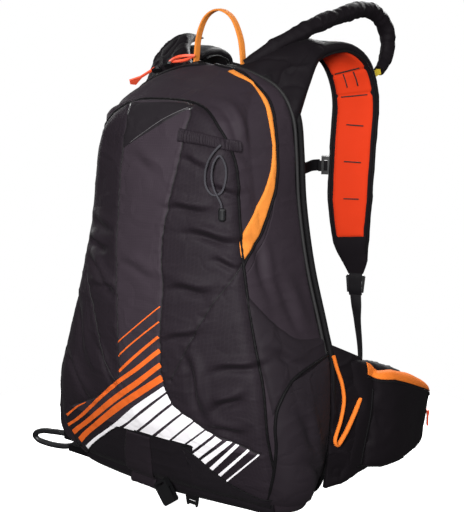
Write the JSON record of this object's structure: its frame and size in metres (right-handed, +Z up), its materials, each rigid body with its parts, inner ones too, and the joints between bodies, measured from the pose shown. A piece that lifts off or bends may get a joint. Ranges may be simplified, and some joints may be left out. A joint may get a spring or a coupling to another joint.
{
  "type": "ski backpack",
  "caption": "Ski touring backpack with a zipped front-opening lid, curved shoulder straps, chest strap, winged hip belt with pockets, haul loop and ski carrying loops.",
  "frame": {"origin": "centre of the outer face of the upper back pad, where it rests on the wearer's back", "axes": "+Z up along the back, +Y out of the back pad towards the wearer, -Y to the bag's front, +X to the right seen from the front"},
  "size_m": [0.467, 0.441, 0.6211],
  "materials": {
    "black_cloth": "matt ripstop",
    "pocket_cloth": "matt ripstop",
    "base_cloth": "matt coated",
    "webbing": "woven",
    "foam": "mesh over foam",
    "liner": "smooth knit",
    "orange_cloth": "woven",
    "red_pull": "matt",
    "yellow_plastic": "matt",
    "black_plastic": "satin",
    "grey_cord": "braided",
    "black_rubber": "satin",
    "lining": "smooth"
  },
  "bodies": {
    "pack": {"main_shell": "black_cloth", "front_pocket_lower": "pocket_cloth", "main_zip_tape": "webbing", "side_wing_right": "black_cloth", "side_wing_left": "black_cloth", "side_pocket_right": "pocket_cloth", "side_pocket_left": "pocket_cloth", "base_panel": "base_cloth", "base_tongue": "webbing", "back_panel": "foam", "frame_sheet": "lining", "back_pad": "foam", "lumbar_pad": "foam", "shoulder_yoke": "foam", "tool_sleeve": "lining", "hip_root_right": "foam", "hip_root_left": "foam", "lower_webbing_right": "webbing", "lower_webbing_left": "webbing", "ski_sleeve": "black_cloth", "ski_loop_anchor_upper": "webbing", "ski_loop_anchor_lower": "webbing", "ski_loop": "black_rubber", "pull_cord": "orange_cloth", "base_ladder": "black_plastic"},
    "lid": {"front_lid": "black_cloth", "front_pocket_upper": "pocket_cloth", "zip_cover_right": "orange_cloth", "zip_cover_left": "orange_cloth", "axe_strip": "webbing", "axe_bungee": "grey_cord", "cord_end": "black_plastic"},
    "slider_left": {"main_slider_left": "black_plastic"},
    "pull_left": {"main_pull_left": "red_pull"},
    "slider_right": {"main_slider_right": "black_plastic"},
    "pull_right": {"main_pull_right": "red_pull"},
    "haul": {"haul_loop": "orange_cloth"},
    "strap_right": {"shoulder_strap_right": "liner", "strap_hook_loop": "webbing", "ski_hook": "yellow_plastic"},
    "strap_left": {"shoulder_strap_left": "liner"},
    "adjuster_right": {"ladder_lock_right": "black_plastic"},
    "adjuster_left": {"ladder_lock_left": "black_plastic"},
    "chest_slide_right": {"sternum_slider_right": "black_plastic"},
    "chest_slide_left": {"sternum_slider_left": "black_plastic"},
    "chest_right": {"sternum_webbing_right": "webbing", "sternum_buckle_right": "black_plastic"},
    "chest_left": {"sternum_webbing_left": "webbing", "sternum_buckle_left": "black_plastic"},
    "hip_right": {"hip_wing_right": "foam", "hip_pocket_right": "black_cloth", "hip_webbing_right": "webbing", "hip_buckle_right": "black_plastic", "hip_zip_slider_right": "red_pull"},
    "hip_left": {"hip_wing_left": "foam", "hip_pocket_left": "black_cloth", "hip_webbing_left": "webbing", "hip_buckle_left": "black_plastic", "hip_zip_slider_left": "red_pull"},
    "base_clip": {"base_buckle": "black_plastic"}
  },
  "joints": [
    {"name": "lid_open", "type": "hinge", "parent": "pack", "child": "lid", "pos_m": [0, -0.168, 0.015], "axis": [1, 0, 0], "range_deg": [0, 90]},
    {"name": "left_slider_run", "type": "hinge", "parent": "pack", "child": "slider_left", "pos_m": [0, -0.10024, 0.10353], "axis": [0, 0.8944, -0.4472], "range_deg": [-4.5, 0]},
    {"name": "left_pull_lift", "type": "hinge", "parent": "slider_left", "child": "pull_left", "pos_m": [-0.08305, -0.03023, 0.24353], "axis": [0, 0.8944, -0.4472], "range_deg": [0, 90]},
    {"name": "right_slider_run", "type": "hinge", "parent": "pack", "child": "slider_right", "pos_m": [0, -0.10024, 0.10353], "axis": [0, 0.8944, -0.4472], "range_deg": [0, 44]},
    {"name": "right_pull_lift", "type": "hinge", "parent": "slider_right", "child": "pull_right", "pos_m": [-0.06526, -0.02656, 0.25088], "axis": [0, 0.8944, -0.4472], "range_deg": [-90, 0]},
    {"name": "haul_loop_fold", "type": "hinge", "parent": "pack", "child": "haul", "pos_m": [0, -0.006, 0.2515], "axis": [1, 0, 0], "range_deg": [-60, 40]},
    {"name": "strap_right_swing", "type": "hinge", "parent": "pack", "child": "strap_right", "pos_m": [0.086, 0.003, 0.228], "axis": [1, 0, 0], "range_deg": [-10, 40], "deforming": ["lower_webbing_right", "ski_sleeve"]},
    {"name": "adjuster_right_tilt", "type": "hinge", "parent": "strap_right", "child": "adjuster_right", "pos_m": [0.1125, 0.147, -0.033], "axis": [0.9438, 0.3304, 0], "range_deg": [-25, 25]},
    {"name": "chest_right_height", "type": "slide", "parent": "strap_right", "child": "chest_slide_right", "axis": [0.0147, 0.0294, 0.9995], "range_m": [-0.03, 0.03]},
    {"name": "chest_right_swing", "type": "hinge", "parent": "chest_slide_right", "child": "chest_right", "pos_m": [0.0712, 0.1172, 0.116], "axis": [0, 0, -1], "range_deg": [-15, 90]},
    {"name": "hip_right_swing", "type": "hinge", "parent": "pack", "child": "hip_right", "pos_m": [0.178, -0.002, -0.18], "axis": [0, 0, -1], "range_deg": [0, 60], "deforming": ["pull_cord"]},
    {"name": "strap_left_swing", "type": "hinge", "parent": "pack", "child": "strap_left", "pos_m": [-0.086, 0.003, 0.228], "axis": [1, 0, 0], "range_deg": [-10, 40], "deforming": ["lower_webbing_left"]},
    {"name": "adjuster_left_tilt", "type": "hinge", "parent": "strap_left", "child": "adjuster_left", "pos_m": [-0.1125, 0.147, -0.033], "axis": [0.9438, -0.3304, 0], "range_deg": [-25, 25]},
    {"name": "chest_left_height", "type": "slide", "parent": "strap_left", "child": "chest_slide_left", "axis": [-0.0147, 0.0294, 0.9995], "range_m": [-0.03, 0.03]},
    {"name": "chest_left_swing", "type": "hinge", "parent": "chest_slide_left", "child": "chest_left", "pos_m": [-0.0712, 0.1172, 0.116], "axis": [0, 0, 1], "range_deg": [-15, 90]},
    {"name": "hip_left_swing", "type": "hinge", "parent": "pack", "child": "hip_left", "pos_m": [-0.178, -0.002, -0.18], "axis": [0, 0, 1], "range_deg": [0, 60]},
    {"name": "base_buckle_swing", "type": "hinge", "parent": "pack", "child": "base_clip", "pos_m": [0.0016, -0.132, -0.2605], "axis": [0.8, 0, 0.6], "range_deg": [-60, 10]}
  ]
}
